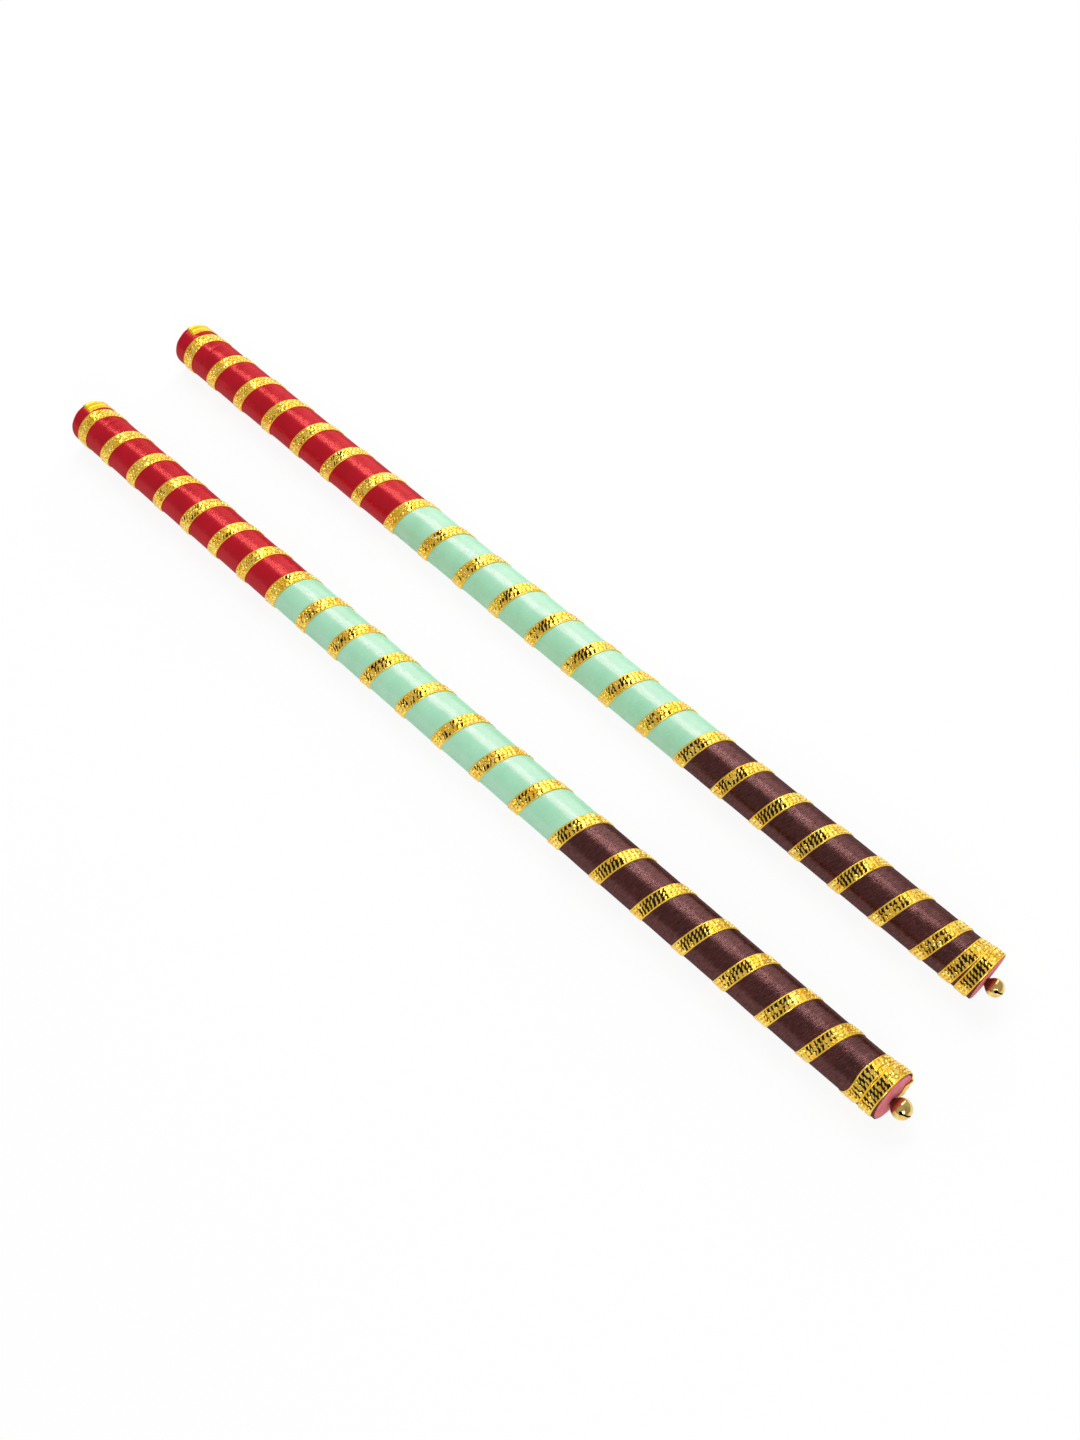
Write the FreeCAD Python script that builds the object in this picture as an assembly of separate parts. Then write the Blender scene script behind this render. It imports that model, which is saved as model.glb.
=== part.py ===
import FreeCAD, Part
import math
import os
from dataclasses import dataclass

from FreeCAD import Placement, Rotation, Vector

# A pair of wrapped dandiya sticks lying side by side, in millimetres.
# +X runs along the sticks from the plain end to the bell end, +Y from the front
# stick to the rear one, and +Z is up. The origin is under the middle of the pair,
# on the surface that they lie on.

# Wooden stick and its covers
STICK_LENGTH = 380.0
STICK_DIAMETER = 16.0
FAR_EDGE_ROUND = 2.0
EDGE_CHORDS = 3
RIBBON_THICKNESS = 0.25
RIBBON_SEAT_GAP = 0.05
PATCH_THICKNESS = 0.3
PATCH_EDGE_GAP = 0.1

# Gold lace: a stiff woven strip that creases into short flats as it is wound
LACE_WIDTH = 4.6
LACE_THICKNESS = 0.3
LACE_SEAT_GAP = 0.02
LACE_PITCH = 16.9
LACE_LAP_GAP = 0.1
LACE_HEAD_MARGIN = 0.9
LACE_RIM_OVERHANG = 0.2
LACE_FLATS_PER_TURN = 18
LACE_START_ANGLE = 98.0
TAIL_FLATS = 8
TAIL_RISE_FLATS = 2
TAIL_LIFT_GAP = 0.05

# The tail's end, folded over the rim onto the end face
FOLD_WIDTH = 6.0
FOLD_INNER_RADIUS = 4.0
FOLD_FLANGE = 3.0
FOLD_BITE = 0.15

# Colour changes of the ribbon, each hidden under one band of the lace
MINT_FROM_BAND = 8
MAROON_FROM_BAND = 16
RIBBON_CUT_ANGLE = 270.0
SHEET_POINTS = 24

# Bell, its nail and its pellet
BELL_WALL = 0.35
BELL_NECK_RADIUS = 1.2
BELL_CHORD_ANGLE = 18.0
BELL_SIDES = 24
BELL_SLOT_WIDTH = 0.7
BELL_SLOT_REACH = 70.0
BELL_SLOT_TURN = 113.0
NAIL_DIAMETER = 1.0
NAIL_HEAD_DIAMETER = 1.8
NAIL_HEAD_THICKNESS = 0.3
NAIL_DEPTH = 9.0
NAIL_GAP = 0.02
NAIL_SIDES = 12
PELLET_DIAMETER = 1.6
PELLET_GAP = 0.05
PELLET_BANDS = 6
PELLET_SIDES = 10

# How the pair lies
STICK_SPACING = 50.35
REAR_SETBACK = 2.93
REAR_SKEW = -0.453

# Worked out from the sizes above
STICK_RADIUS = STICK_DIAMETER / 2
COVER_DEPTH = RIBBON_SEAT_GAP + RIBBON_THICKNESS
RIBBON_RADIUS = STICK_RADIUS + COVER_DEPTH
LACE_RADIUS = RIBBON_RADIUS + LACE_SEAT_GAP
FAR_END = -STICK_LENGTH / 2
NEAR_END = STICK_LENGTH / 2
TAIL_LIFT = LACE_THICKNESS + TAIL_LIFT_GAP
ALONG = Vector(1, 0, 0)
CENTRE = Vector(0, 0, 0)


def around(angle, radius, x=0.0):
    """A point at an angle counted from +Y over the top, on a stick lying along X."""
    turn = math.radians(angle)
    return Vector(x, radius * math.cos(turn), radius * math.sin(turn))


def face_of(points):
    """The plane face inside a closed row of points."""
    return Part.Face(Part.makePolygon(points + points[:1]))


def turned(outline):
    """The solid turned about the X axis from (x, radius) points; the axis closes it."""
    return face_of([Vector(x, r, 0) for x, r in outline]).revolve(CENTRE, ALONG, 360)


def closed_solid(faces):
    """The solid that a set of faces closes."""
    shell = Part.Shell(faces)
    shell.sewShape()
    solid = Part.Solid(shell)
    if solid.Volume < 0:
        solid.reverse()
    return solid


def many_sided(outline, sides):
    """A small turned piece as flat sides round the X axis; both ends of its outline are on the axis."""
    faces = []
    for side in range(sides):
        a, b = 360.0 * side / sides, 360.0 * (side + 1) / sides
        for (x0, r0), (x1, r1) in zip(outline, outline[1:]):
            corners = [around(a, r0, x0), around(a, r1, x1)]
            if r1 > 0:
                corners.append(around(b, r1, x1))
            if r0 > 0:
                corners.append(around(b, r0, x0))
            faces.append(face_of(corners))
    return closed_solid(faces)


def ball_outline(x, radius, first, last, bands):
    """Points round a ball's side, between two angles off the axis."""
    step = (last - first) / bands
    angles = [math.radians(first + step * i) for i in range(bands + 1)]
    return [(x - radius * math.cos(a), abs(radius * math.sin(a))) for a in angles]


def rod(x0, x1, radius, rounding):
    """A rod along X whose edge at x0 is rounded in short chords."""
    angles = [math.radians(90.0 * i / EDGE_CHORDS) for i in range(EDGE_CHORDS + 1)]
    edge = [(x0 + rounding * (1 - math.cos(a)), radius - rounding * (1 - math.sin(a))) for a in angles]
    return turned([(x0, 0.0)] + edge + [(x1, radius), (x1, 0.0)])


@dataclass(frozen=True)
class Winding:
    """The lace's way round a stick, by turns counted from its cut end."""

    head_gap: float
    closing_advance: float
    drifts: tuple
    slant: float
    slant_towards: float

    def stages(self):
        """The turns and places of the main stretch, between the laps at both ends."""
        lap = LACE_WIDTH + LACE_LAP_GAP
        start = FAR_END + LACE_HEAD_MARGIN + LACE_WIDTH / 2
        rim = NEAR_END + LACE_RIM_OVERHANG - LACE_WIDTH / 2
        first = start + lap + self.head_gap
        last = rim - lap - self.closing_advance
        return start, first, last, rim, lap, round((last - first) / LACE_PITCH)

    def turns(self):
        """All turns but the tail."""
        return self.stages()[5] + 2 + (1 if self.closing_advance else 0)

    def x_at(self, turn):
        """The middle of the strip, before the end face's slant."""
        start, first, last, rim, lap, main = self.stages()
        if turn < 1:
            return start + turn * (first - start)
        if turn < 1 + main:
            v = (turn - 1) / main
            waves = sum(d * math.sin((n + 1) * math.pi * v) for n, d in enumerate(self.drifts))
            return first + v * (last - first) + waves
        if turn < self.turns() - 1:
            return last + (turn - 1 - main) * self.closing_advance
        return min(rim - lap + (turn - self.turns() + 1) * lap, rim)

    def angle_at(self, turn):
        return LACE_START_ANGLE - 360.0 * turn

    def section(self, turn):
        """The strip's four corners: inner pair, then outer pair."""
        angle = self.angle_at(turn)
        rise = (turn - self.turns()) * LACE_FLATS_PER_TURN / TAIL_RISE_FLATS + 1
        lift = TAIL_LIFT * min(max(rise, 0.0), 1.0)
        blend = min(max(turn - self.turns() + 2, 0.0), 1.0)
        lean = math.tan(math.radians(self.slant)) * math.cos(math.radians(angle - self.slant_towards))
        x = self.x_at(turn) - lean * LACE_RADIUS * blend
        crease = math.cos(math.pi / LACE_FLATS_PER_TURN)
        inner = (LACE_RADIUS + lift) / crease
        outer = (LACE_RADIUS + lift + LACE_THICKNESS) / crease
        near, far = x - LACE_WIDTH / 2, x + LACE_WIDTH / 2
        return [around(angle, r, at) for at, r in ((near, inner), (far, inner), (far, outer), (near, outer))]

    def solid(self):
        """The whole strip, with a crease between each flat and the next."""
        count = self.turns() * LACE_FLATS_PER_TURN + TAIL_FLATS
        rows = [self.section(i / LACE_FLATS_PER_TURN) for i in range(count + 1)]
        faces = [face_of(rows[0]), face_of(rows[-1])]
        for a, b in zip(rows, rows[1:]):
            faces += [face_of([a[0], a[1], b[1], b[0]]), face_of([a[2], a[3], b[3], b[2]])]
            faces += [face_of([a[1], a[2], b[1]]), face_of([b[1], a[2], b[2]])]
            faces += [face_of([a[3], a[0], b[3]]), face_of([b[3], a[0], b[0]])]
        return closed_solid(faces)

    def sheet(self, band):
        """A sheet under one band that parts two ribbons, closed by a straight cut below."""
        first = band + (LACE_START_ANGLE - RIBBON_CUT_ANGLE) / 360.0
        steps = [i / SHEET_POINTS for i in range(SHEET_POINTS + 1)]
        curves = []
        for radius in (STICK_RADIUS - 1, RIBBON_RADIUS + 1):
            points = [around(self.angle_at(first + s), radius, self.x_at(first + s)) for s in steps]
            curve = Part.BSplineCurve()
            curve.interpolate(Points=points, Parameters=steps)
            curves.append(curve)
        low, high = curves
        ruled = Part.BSplineSurface()
        ruled.buildFromPolesMultsKnots(
            [low.getPoles(), high.getPoles()],
            [2, 2],
            low.getMultiplicities(),
            [0.0, 1.0],
            low.getKnots(),
            False,
            False,
            1,
            low.Degree,
        )
        x0, x1 = self.x_at(first), self.x_at(first + 1)
        corners = [(RIBBON_RADIUS + 1, x0), (STICK_RADIUS - 1, x0), (STICK_RADIUS - 1, x1), (RIBBON_RADIUS + 1, x1)]
        cut = face_of([around(self.angle_at(first), r, x) for r, x in corners])
        return Part.Shell([ruled.toShape(), cut])


@dataclass(frozen=True)
class Bell:
    """A round jingle bell on a short neck; its own axis is X, from its base outwards."""

    radius: float
    reach: float
    base: tuple
    lean: float

    def shell_and_seat(self):
        """The bell with its hollow, bore and slot, and where the nail's head sits in it."""
        span = math.hypot(self.reach, BELL_NECK_RADIUS)
        tangent = math.atan2(BELL_NECK_RADIUS, self.reach) + math.acos(self.radius / span)
        first = math.degrees(tangent)
        bands = round((180.0 - first) / BELL_CHORD_ANGLE)
        outside = ball_outline(self.reach, self.radius, first, 180.0, bands)
        outside = [(0.0, 0.0), (0.0, BELL_NECK_RADIUS)] + outside[:-1] + [(self.reach + self.radius, 0.0)]
        body = many_sided(outside, BELL_SIDES)
        inner = self.radius - BELL_WALL
        floor = math.degrees(math.asin((NAIL_HEAD_DIAMETER / 2 + NAIL_GAP * 5) / inner))
        bands = round((180.0 - floor) / BELL_CHORD_ANGLE)
        inside = ball_outline(self.reach, inner, floor, 180.0, bands)
        seat = inside[0][0]
        body = body.cut(many_sided([(seat, 0.0)] + inside[:-1] + [(self.reach + inner, 0.0)], BELL_SIDES))
        body = body.cut(self.nail_hole())
        half = self.radius * math.sin(math.radians(BELL_SLOT_REACH))
        slot = Part.makeBox(self.radius, 2 * half, BELL_SLOT_WIDTH)
        depth = self.radius * math.cos(math.radians(BELL_SLOT_REACH))
        slot.translate(Vector(self.reach + depth, -half, -BELL_SLOT_WIDTH / 2))
        slot.rotate(CENTRE, ALONG, BELL_SLOT_TURN)
        return body.cut(slot), seat

    def nail(self, seat):
        """The nail: its head inside the bell, its shank through the patch into the wood."""
        shank = NAIL_DIAMETER / 2
        head = NAIL_HEAD_DIAMETER / 2
        outline = [(-NAIL_DEPTH, 0.0), (shank - NAIL_DEPTH, shank), (seat, shank), (seat, head)]
        outline += [(seat + NAIL_HEAD_THICKNESS, head), (seat + NAIL_HEAD_THICKNESS, 0.0)]
        return many_sided(outline, NAIL_SIDES)

    def nail_hole(self):
        """The hole that the nail's shank fills, as far as the bell's middle."""
        width = NAIL_DIAMETER / 2 + NAIL_GAP
        foot = -NAIL_DEPTH - NAIL_GAP
        return many_sided([(foot, 0.0), (foot, width), (self.reach, width), (self.reach, 0.0)], NAIL_SIDES)

    def place(self, end):
        """The bell's own frame: its base tipped until the neck's edge meets the patch."""
        lean = math.radians(abs(self.lean))
        out = PATCH_THICKNESS + math.tan(lean) * BELL_NECK_RADIUS
        tip = Placement(Vector(out, *self.base), Rotation(Vector(0, 0, 1), self.lean))
        return end.multiply(tip)


@dataclass(frozen=True)
class Stick:
    """One stick of the pair, built along X with its axis through the origin."""

    name: str
    winding: Winding
    bell: Bell
    folded_tail: bool

    def end_frame(self):
        """The cut end face's frame: X is its outward normal."""
        towards = math.radians(self.winding.slant_towards)
        axis = Vector(0, -math.sin(towards), math.cos(towards))
        return Placement(Vector(NEAR_END, 0, 0), Rotation(axis, self.winding.slant))

    def beyond_end(self):
        """Everything past the cut end face."""
        reach = 4 * STICK_DIAMETER
        box = Part.makeBox(reach, reach, reach, Vector(0, -reach / 2, -reach / 2))
        box.Placement = self.end_frame()
        return box

    def covers(self):
        """Red, mint and maroon ribbon: one wrapped skin, parted where the colour changes."""
        past = NEAR_END + STICK_RADIUS
        skin = rod(FAR_END - COVER_DEPTH, past, RIBBON_RADIUS, FAR_EDGE_ROUND + COVER_DEPTH)
        hollow_radius = STICK_RADIUS + RIBBON_SEAT_GAP
        hollow = rod(FAR_END - RIBBON_SEAT_GAP, past, hollow_radius, FAR_EDGE_ROUND + RIBBON_SEAT_GAP)
        skin = skin.cut(hollow).cut(self.beyond_end())
        sheets = [self.winding.sheet(band) for band in (MINT_FROM_BAND, MAROON_FROM_BAND)]
        pieces, _ = skin.generalFuse(sheets)
        return sorted(pieces.Solids, key=lambda s: s.CenterOfMass.x)

    def lace(self):
        """The gold lace, with its tail folded over the rim where it shows."""
        strip = self.winding.solid()
        if not self.folded_tail:
            return strip
        top = LACE_RADIUS + TAIL_LIFT + LACE_THICKNESS
        flat = 360.0 / LACE_FLATS_PER_TURN
        angle = self.winding.angle_at(self.winding.turns()) - flat * (TAIL_FLATS - 1.5)
        out = PATCH_THICKNESS + LACE_SEAT_GAP
        flange = Part.makeBox(FOLD_FLANGE + out + LACE_THICKNESS, FOLD_WIDTH, FOLD_BITE + LACE_THICKNESS)
        flange.translate(Vector(-FOLD_FLANGE, -FOLD_WIDTH / 2, top - FOLD_BITE))
        plate = Part.makeBox(LACE_THICKNESS, FOLD_WIDTH, top + LACE_THICKNESS - FOLD_INNER_RADIUS)
        plate.translate(Vector(out, -FOLD_WIDTH / 2, FOLD_INNER_RADIUS))
        fold = flange.fuse(plate)
        fold.Placement = self.end_frame().multiply(Placement(CENTRE, Rotation(ALONG, angle - 90.0)))
        return strip.fuse(fold).removeSplitter()

    def pieces(self):
        """Every piece of the stick by name."""
        end = self.end_frame()
        at_bell = self.bell.place(end)
        hole = self.bell.nail_hole()
        hole.Placement = at_bell.multiply(hole.Placement)
        wood = rod(FAR_END, NEAR_END + STICK_RADIUS, STICK_RADIUS, FAR_EDGE_ROUND)
        wood = wood.cut(self.beyond_end()).cut(hole)
        patch = Part.makeCylinder(STICK_RADIUS - PATCH_EDGE_GAP, PATCH_THICKNESS, CENTRE, ALONG)
        patch.Placement = end.multiply(patch.Placement)
        red, mint, maroon = self.covers()
        shell, seat = self.bell.shell_and_seat()
        shell.Placement = at_bell
        nail = self.bell.nail(seat)
        nail.Placement = at_bell
        middle = at_bell.multVec(Vector(self.bell.reach, 0, 0))
        half = PELLET_DIAMETER / 2
        ball = ball_outline(0.0, half, 0.0, 180.0, PELLET_BANDS)
        pellet = many_sided([(-half, 0.0)] + ball[1:-1] + [(half, 0.0)], PELLET_SIDES)
        drop = self.bell.radius - BELL_WALL - PELLET_DIAMETER / 2 - PELLET_GAP
        pellet.translate(middle - Vector(0, 0, drop))
        return {
            "core": wood,
            "red_ribbon": red,
            "mint_ribbon": mint,
            "maroon_ribbon": maroon,
            "gold_lace": self.lace(),
            "end_patch": patch.cut(hole),
            "bell_shell": shell,
            "bell_nail": nail,
            "bell_pellet": pellet,
        }


FRONT = Stick(
    name="front",
    winding=Winding(
        head_gap=0.0,
        closing_advance=0.0,
        drifts=(-4.6, -3.2, 1.5),
        slant=5.5,
        slant_towards=112.6,
    ),
    bell=Bell(radius=3.3, reach=3.5, base=(-0.2, -2.2), lean=0.0),
    folded_tail=True,
)
REAR = Stick(
    name="rear",
    winding=Winding(
        head_gap=1.5,
        closing_advance=8.9,
        drifts=(1.9, -3.0, -0.7),
        slant=-3.0,
        slant_towards=112.6,
    ),
    bell=Bell(radius=2.95, reach=3.2, base=(-0.4, -1.8), lean=5.0),
    folded_tail=False,
)


def main():
    os.makedirs("parts", exist_ok=True)
    laid = {}
    for stick, skew, offset in (
        (FRONT, 0.0, Vector(0, 0, 0)),
        (REAR, REAR_SKEW, Vector(-REAR_SETBACK, STICK_SPACING, 0)),
    ):
        pieces = stick.pieces()
        lift = Vector(0, 0, -pieces["gold_lace"].BoundBox.ZMin)
        for name, shape in pieces.items():
            shape.rotate(CENTRE, Vector(0, 0, 1), skew)
            shape.translate(offset + lift)
            laid[stick.name + "_" + name] = shape
    box = Part.makeCompound(list(laid.values())).optimalBoundingBox(False)
    middle = Vector(box.Center.x, box.Center.y, 0)
    for node, shape in laid.items():
        shape.translate(-middle)
        shape.exportStep("parts/" + node + ".step")
        print(node, "valid", shape.isValid(), "solids", len(shape.Solids), "mm3", round(shape.Volume, 2))


main()
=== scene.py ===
"""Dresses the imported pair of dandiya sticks: satin covers, woven gold lace, end patches and bells.

Lengths are worked out in millimetres in each stick's own frame (its axis along X, its middle at the
origin) and turned into metres in the pair's frame when a mesh is made.
"""

import logging
import math
from dataclasses import dataclass
from enum import Enum
from typing import Any, Callable, Iterable, Iterator, Sequence

import bpy
import numpy as np
from mathutils import Matrix, Vector


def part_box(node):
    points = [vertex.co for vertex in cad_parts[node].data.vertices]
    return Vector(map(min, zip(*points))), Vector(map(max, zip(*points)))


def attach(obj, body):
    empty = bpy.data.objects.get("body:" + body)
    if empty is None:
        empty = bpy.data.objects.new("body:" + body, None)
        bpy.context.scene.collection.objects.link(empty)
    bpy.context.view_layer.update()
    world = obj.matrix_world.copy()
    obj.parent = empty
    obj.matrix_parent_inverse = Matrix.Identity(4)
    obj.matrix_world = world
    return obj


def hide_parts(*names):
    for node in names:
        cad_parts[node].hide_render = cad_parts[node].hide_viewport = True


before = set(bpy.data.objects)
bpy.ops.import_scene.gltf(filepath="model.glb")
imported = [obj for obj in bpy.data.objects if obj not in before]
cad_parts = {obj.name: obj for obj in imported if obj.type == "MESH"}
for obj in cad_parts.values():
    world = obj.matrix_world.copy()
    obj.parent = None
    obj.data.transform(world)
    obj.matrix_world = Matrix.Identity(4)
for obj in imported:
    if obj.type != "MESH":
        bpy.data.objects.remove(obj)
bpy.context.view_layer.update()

LOG = logging.getLogger("dandiya")
MM = 0.001
BODY = "root"

STICK_LENGTH = 380.0
STICK_RADIUS = 8.0
STICK_SPACING = 50.35
REAR_SET_BACK = 2.93
REAR_SKEW = -0.453
FAR_END = -STICK_LENGTH / 2
NEAR_END = STICK_LENGTH / 2
PATCH_THICKNESS = 0.3

COVER_RADIUS = 8.3
COVER_TOP = COVER_RADIUS + 0.02
COVER_FAR_END = FAR_END - 0.3
COVER_ROUNDING = 1.7
RIPPLE_DEPTH = 0.1
RIPPLES_ROUND = 9
CUT_ANGLE = 270.0
RIB_SLANT = 18.0

LACE_WIDTH = 4.6
LACE_BACK = 8.32
LACE_THICKNESS = 0.3
LACE_HALF = 0.14
LAP_LIFT = 0.35
START_ANGLE = 98.0
PLAIN = -1.0

Colour = tuple[float, float, float]
Point = tuple[float, float, float]
Material = bpy.types.Material
Thing = bpy.types.Object


class Slot(Enum):
    """The record's material slots."""

    WOOD = "stick_wood"
    RED = "red_satin"
    MINT = "mint_satin"
    MAROON = "maroon_satin"
    LACE = "gold_lace"
    PATCH = "pink_cloth"
    BELL = "bell_brass"
    NAIL = "nail_steel"
    PELLET = "pellet_iron"


def maths(operation: str, swapped: bool = False) -> Callable[..., "Wire"]:
    """Makes a method of a wire that adds one Math node.

    Args:
        operation: What the node works out.
        swapped: Whether the wire comes second in it.

    Returns:
        The method, which may take another value.
    """

    def work_out(wire: "Wire", other: Any = 0.0) -> "Wire":
        """The node's result."""
        first, second = (other, wire) if swapped else (wire, other)
        return wire.tree.node("ShaderNodeMath", {"operation": operation}, {0: first, 1: second})

    return work_out


class Wire:
    """A value in a node tree that maths can be written on."""

    def __init__(self, tree: "Tree", socket: bpy.types.NodeSocket) -> None:
        """Keeps the tree that the value belongs to, and its socket."""
        self.tree = tree
        self.socket = socket

    __add__ = __radd__ = maths("ADD")
    __mul__ = maths("MULTIPLY")
    __sub__ = maths("SUBTRACT")
    __rsub__ = maths("SUBTRACT", swapped=True)
    __pow__ = maths("POWER")
    sine = maths("SINE")
    absolute = maths("ABSOLUTE")
    larger = maths("MAXIMUM")
    over = maths("GREATER_THAN")

    def beside(self, name: str) -> "Wire":
        """Another output of the same node."""
        return Wire(self.tree, self.socket.node.outputs[name])

    def between(self, low: float, high: float) -> "Wire":
        """0 below low, 1 above high and even between them."""
        values = {"Value": self, "From Min": low, "From Max": high}
        return self.tree.node("ShaderNodeMapRange", {"clamp": True}, values)


class Tree:
    """A tree of nodes, which all come from one method."""

    def __init__(self, tree: bpy.types.NodeTree) -> None:
        """Keeps Blender's own tree."""
        self.tree = tree

    def node(self, kind: str, settings: dict[str, Any], values: dict[Any, Any], out: Any = 0) -> Wire:
        """Adds a node.

        Args:
            kind: The node's type.
            settings: What is set on the node itself.
            values: Numbers, colours or wires for its sockets.
            out: The output that is wanted.

        Returns:
            The output as a wire.
        """
        made = self.tree.nodes.new(kind)
        for key, value in settings.items():
            setattr(made, key, value)
        for key, value in values.items():
            if isinstance(value, Wire):
                self.tree.links.new(value.socket, made.inputs[key])
            elif value is not None:
                made.inputs[key].default_value = value
        return Wire(self, made.outputs[out])


class Paint(Tree):
    """One material."""

    def __init__(self, name: str) -> None:
        """Makes an empty material."""
        self.material = bpy.data.materials.new(name)
        self.material.use_nodes = True
        super().__init__(self.material.node_tree)
        self.tree.nodes.clear()

    def mix(self, factor: Any, low: Any, high: Any) -> Wire:
        """A colour between two others."""
        pair = [(*c, 1.0) if isinstance(c, tuple) else c for c in (low, high)]
        return self.node("ShaderNodeMix", {"data_type": "RGBA"}, {0: factor, 6: pair[0], 7: pair[1]}, 2)

    def scaled(self, found: Wire, scale: tuple[float, ...]) -> Wire:
        """Coordinates times a scale along each direction."""
        return self.node("ShaderNodeMapping", {}, {"Vector": found, "Scale": scale})

    def on_wrap(self, along: float = 1.0, across: float = 1.0, turn: float = 0.0) -> Wire:
        """Millimetres on the piece's wrap, turned by some degrees and then scaled."""
        found = self.node("ShaderNodeUVMap", {"uv_map": "wrap"}, {}, "UV")
        if turn:
            spin = (0.0, 0.0, math.radians(turn))
            found = self.node("ShaderNodeMapping", {}, {"Vector": found, "Rotation": spin})
        return self.scaled(found, (along, across, 1.0))

    def in_space(self, *scale: float) -> Wire:
        """Millimetres in space, times one scale or a scale for each direction."""
        found = self.node("ShaderNodeTexCoord", {}, {}, "Object")
        sizes = scale if len(scale) == 3 else scale * 3
        return self.scaled(found, tuple(1.0 / MM * size for size in sizes))

    def attribute(self, name: str) -> Wire:
        """A number that the piece's mesh carries."""
        return self.node("ShaderNodeAttribute", {"attribute_name": name}, {}, "Fac")

    def noise(self, where: Wire, detail: float = 2.0, rough: float = 0.5) -> Wire:
        """Soft noise from 0 to 1."""
        values = {"Vector": where, "Scale": 1.0, "Detail": detail, "Roughness": rough}
        return self.node("ShaderNodeTexNoise", {}, values)

    def part(self, where: Wire, axis: int) -> Wire:
        """One coordinate of a place."""
        return self.node("ShaderNodeSeparateXYZ", {}, {"Vector": where}, axis)

    def waves(self, where: Wire, axis: int, pitch: float) -> Wire:
        """Even waves from -1 to 1 along one coordinate, a pitch apart."""
        return (self.part(where, axis) * (2 * math.pi / pitch)).sine()

    def bump(self, height: Wire, depth_mm: float, below: Wire | None = None) -> Wire:
        """A relief as a surface direction."""
        values = {"Height": height, "Distance": depth_mm * MM, "Strength": 1.0, "Normal": below}
        return self.node("ShaderNodeBump", {}, values)

    def shader(self, **values: Any) -> Wire:
        """Adds a Principled shader.

        Args:
            **values: Its sockets, with spaces in their names written as underscores.

        Returns:
            The shader as a wire.
        """
        named = {key.replace("_", " "): value for key, value in values.items()}
        return self.node("ShaderNodeBsdfPrincipled", {}, named)

    def finish(self, shader: Wire) -> Material:
        """Sends a shader to the material's output and returns the finished material."""
        end = self.tree.nodes.new("ShaderNodeOutputMaterial")
        self.tree.links.new(shader.socket, end.inputs["Surface"])
        return self.material

    def surface(self, **values: Any) -> Material:
        """Ends the tree in one Principled shader, given like shader()."""
        return self.finish(self.shader(**values))


@dataclass(frozen=True)
class Satin:
    """Satin ribbon: dyed cloth under a tinted gleam, with fine slanted ribs and a few pulled threads."""

    name: str
    deep: Colour
    light: Colour
    roughness: float
    grain: float
    gloss: float
    gleam: Colour

    def make(self) -> Material:
        """Builds the material."""
        paint = Paint(self.name)
        ribs = paint.noise(paint.on_wrap(0.35, 3.2, RIB_SLANT), 3.0, 0.6)
        threads = paint.waves(paint.on_wrap(), 1, 0.42)
        cloud = paint.noise(paint.on_wrap(0.09, 0.14), 2.0)
        fleck = paint.noise(paint.on_wrap(0.42, 2.3, RIB_SLANT), 2.0, 0.7)
        tone = cloud.between(0.3, 0.7) * 0.55 + ribs.between(0.25, 0.75) * 0.3
        tone = tone + fleck.between(0.4, 0.75) * 0.15
        colour = paint.mix(tone, self.deep, self.light)
        rough = self.roughness + (ribs - 0.5) * 0.12 + (fleck - 0.5) * self.grain
        fine = paint.bump(threads * 0.3 + ribs * (0.2 + self.grain * 4) + fleck * self.grain * 7, 0.035)
        soft = paint.bump(cloud, 0.3, fine)
        cloth = paint.shader(Base_Color=colour, Roughness=rough, Specular_IOR_Level=0.0, Normal=soft)
        sheen = paint.shader(Base_Color=(*self.gleam, 1.0), Metallic=1.0, Roughness=rough, Normal=soft)
        share = ((fleck.between(0.3, 0.7) - 0.5) * (self.grain * 3) + 1.0) * self.gloss
        return paint.finish(paint.node("ShaderNodeMixShader", {}, {0: share, 1: cloth, 2: sheen}))


@dataclass(frozen=True)
class GoldThread:
    """Metallic thread of the lace: deep yellow, paler in random patches and flecks."""

    name: str
    deep: Colour
    pale: Colour
    roughness: float
    metal: float

    def make(self) -> Material:
        """Builds the material."""
        paint = Paint(self.name)
        patch = paint.noise(paint.in_space(0.45), 2.0)
        spark = paint.noise(paint.in_space(1.5), 2.0, 0.6)
        tone = (patch.between(0.35, 0.65) * 0.5 + spark.between(0.4, 0.7) * 0.5) ** 1.3
        thread = paint.waves(paint.in_space(1.0), 0, 0.22)
        rough = self.roughness + (spark - 0.5) * 0.25
        relief = paint.bump(spark + thread * 0.08, 0.06)
        colour = paint.mix(tone, self.deep, self.pale)
        return paint.surface(Base_Color=colour, Roughness=rough, Metallic=self.metal, Normal=relief)


@dataclass(frozen=True)
class LaceGround:
    """The lace's ground: gold where the weave is closed, and where it is open painted near black as painted
    shade and dark reflection, with gold selvedges.
    """

    name: str
    gap_shade: Colour
    gold: Colour

    def make(self) -> Material:
        """Builds the material."""
        paint = Paint(self.name)
        across = paint.part(paint.on_wrap(), 1).absolute()
        opened = paint.attribute("open")
        middle = (1.0 - across.between(0.25, 0.36)) * (1.0 - opened.between(0.5, 0.7))
        ribs = across.between(1.8, 1.9).larger(middle)
        dots = paint.noise(paint.on_wrap(0.9, 1.3, 30.0), 1.0).between(0.60, 0.66)
        dots = dots * opened.between(-0.6, -0.4)
        # Where "open" is high the ground is painted near black: painted shade and dark reflection between the
        # bars.
        closed = 1.0 - opened.between(0.2, 0.42)
        shown = ribs.larger(closed * (1.0 - dots * 0.85))
        colour = paint.mix(shown, self.gap_shade, self.gold)
        relief = paint.bump(paint.noise(paint.on_wrap(2.5, 2.5), 2.0), 0.08)
        return paint.surface(
            Base_Color=colour,
            Roughness=0.6 - shown * 0.3,
            Metallic=shown * 0.6,
            Specular_IOR_Level=0.12,
            Normal=relief,
        )


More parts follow.
